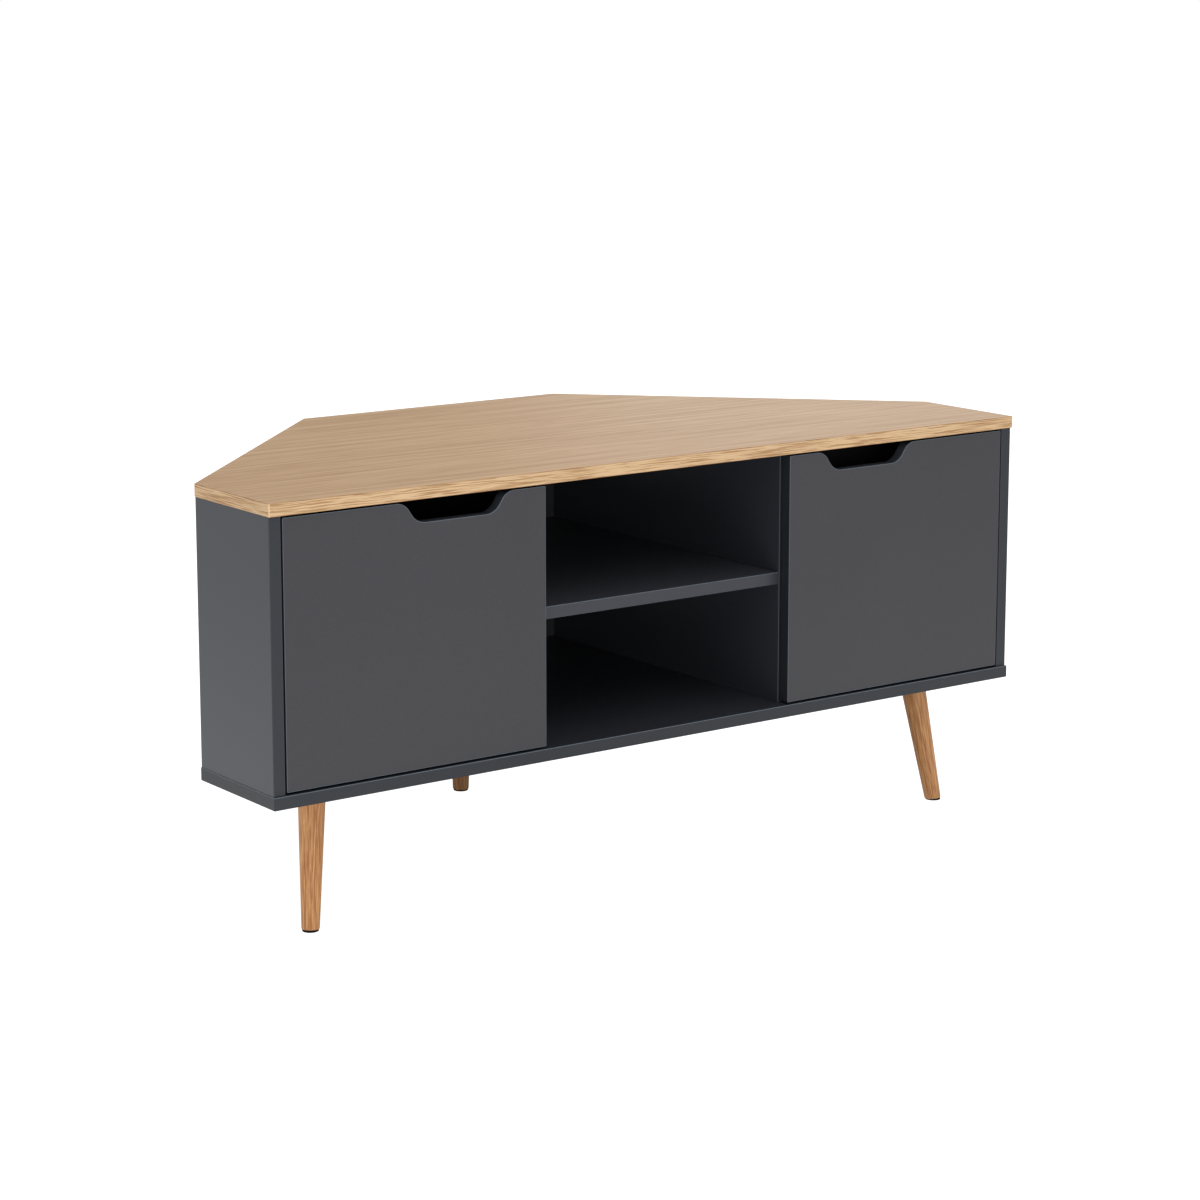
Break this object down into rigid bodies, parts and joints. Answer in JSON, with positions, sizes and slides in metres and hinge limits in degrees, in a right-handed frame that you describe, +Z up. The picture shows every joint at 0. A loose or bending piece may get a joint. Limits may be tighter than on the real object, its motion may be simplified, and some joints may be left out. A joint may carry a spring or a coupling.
{
  "type": "corner tv cabinet",
  "caption": "Low corner television cabinet with an oak-look top, dark board body, hinged doors beside an open bay with a shelf, and turned splayed legs.",
  "frame": {"origin": "on the floor, under the middle of the cabinet's outline", "axes": "+X to the right seen from the front, +Y to the back, +Z up"},
  "size_m": [1.1, 0.52, 0.507],
  "materials": {
    "oak_top": "matt oak foil on particle board",
    "dark_board": "satin anthracite melamine on particle board",
    "dark_door": "satin anthracite melamine on particle board",
    "leg_oak": "oiled turned hardwood",
    "steel": "zinc plated steel",
    "hinge_steel": "nickel plated pressed steel",
    "zinc": "bare die-cast zinc",
    "glide_plastic": "black moulded plastic",
    "rubber": "clear soft rubber"
  },
  "bodies": {
    "carcass": {"top_panel": "oak_top", "bottom_panel": "dark_board", "centre_shelf": "dark_board", "centre_back_board": "dark_board", "left_side_panel": "dark_board", "left_divider": "dark_board", "left_back_board": "dark_board", "left_side_cam_lock_1": "zinc", "left_side_cam_lock_2": "zinc", "left_divider_cam_lock_1": "zinc", "left_divider_cam_lock_2": "zinc", "left_divider_cam_lock_3": "zinc", "left_divider_cam_lock_4": "zinc", "left_shelf_pin_1": "steel", "left_shelf_pin_2": "steel", "left_lower_hinge_arm": "hinge_steel", "left_lower_hinge_plate": "hinge_steel", "left_upper_hinge_arm": "hinge_steel", "left_upper_hinge_plate": "hinge_steel", "right_side_panel": "dark_board", "right_divider": "dark_board", "right_back_board": "dark_board", "right_side_cam_lock_1": "zinc", "right_side_cam_lock_2": "zinc", "right_divider_cam_lock_1": "zinc", "right_divider_cam_lock_2": "zinc", "right_divider_cam_lock_3": "zinc", "right_divider_cam_lock_4": "zinc", "right_shelf_pin_1": "steel", "right_shelf_pin_2": "steel", "right_lower_hinge_arm": "hinge_steel", "right_lower_hinge_plate": "hinge_steel", "right_upper_hinge_arm": "hinge_steel", "right_upper_hinge_plate": "hinge_steel", "front_left_leg": "leg_oak", "front_left_leg_plate": "steel", "front_left_hanger_bolt": "steel", "front_left_glide": "glide_plastic", "front_right_leg": "leg_oak", "front_right_leg_plate": "steel", "front_right_hanger_bolt": "steel", "front_right_glide": "glide_plastic", "rear_leg": "leg_oak", "rear_leg_plate": "steel", "rear_hanger_bolt": "steel", "rear_glide": "glide_plastic"},
    "left_door": {"left_door": "dark_door", "left_lower_hinge_cup": "hinge_steel", "left_lower_hinge_pin": "hinge_steel", "left_lower_door_bumper": "rubber", "left_upper_hinge_cup": "hinge_steel", "left_upper_hinge_pin": "hinge_steel", "left_upper_door_bumper": "rubber"},
    "right_door": {"right_door": "dark_door", "right_lower_hinge_cup": "hinge_steel", "right_lower_hinge_pin": "hinge_steel", "right_lower_door_bumper": "rubber", "right_upper_hinge_cup": "hinge_steel", "right_upper_hinge_pin": "hinge_steel", "right_upper_door_bumper": "rubber"}
  },
  "joints": [
    {"name": "left_door_hinge", "type": "hinge", "parent": "carcass", "child": "left_door", "pos_m": [-0.51599, -0.2495, 0.3355], "axis": [0, 0, -1], "range_deg": [0, 95]},
    {"name": "right_door_hinge", "type": "hinge", "parent": "carcass", "child": "right_door", "pos_m": [0.51599, -0.2495, 0.3355], "axis": [0, 0, 1], "range_deg": [0, 95]}
  ]
}
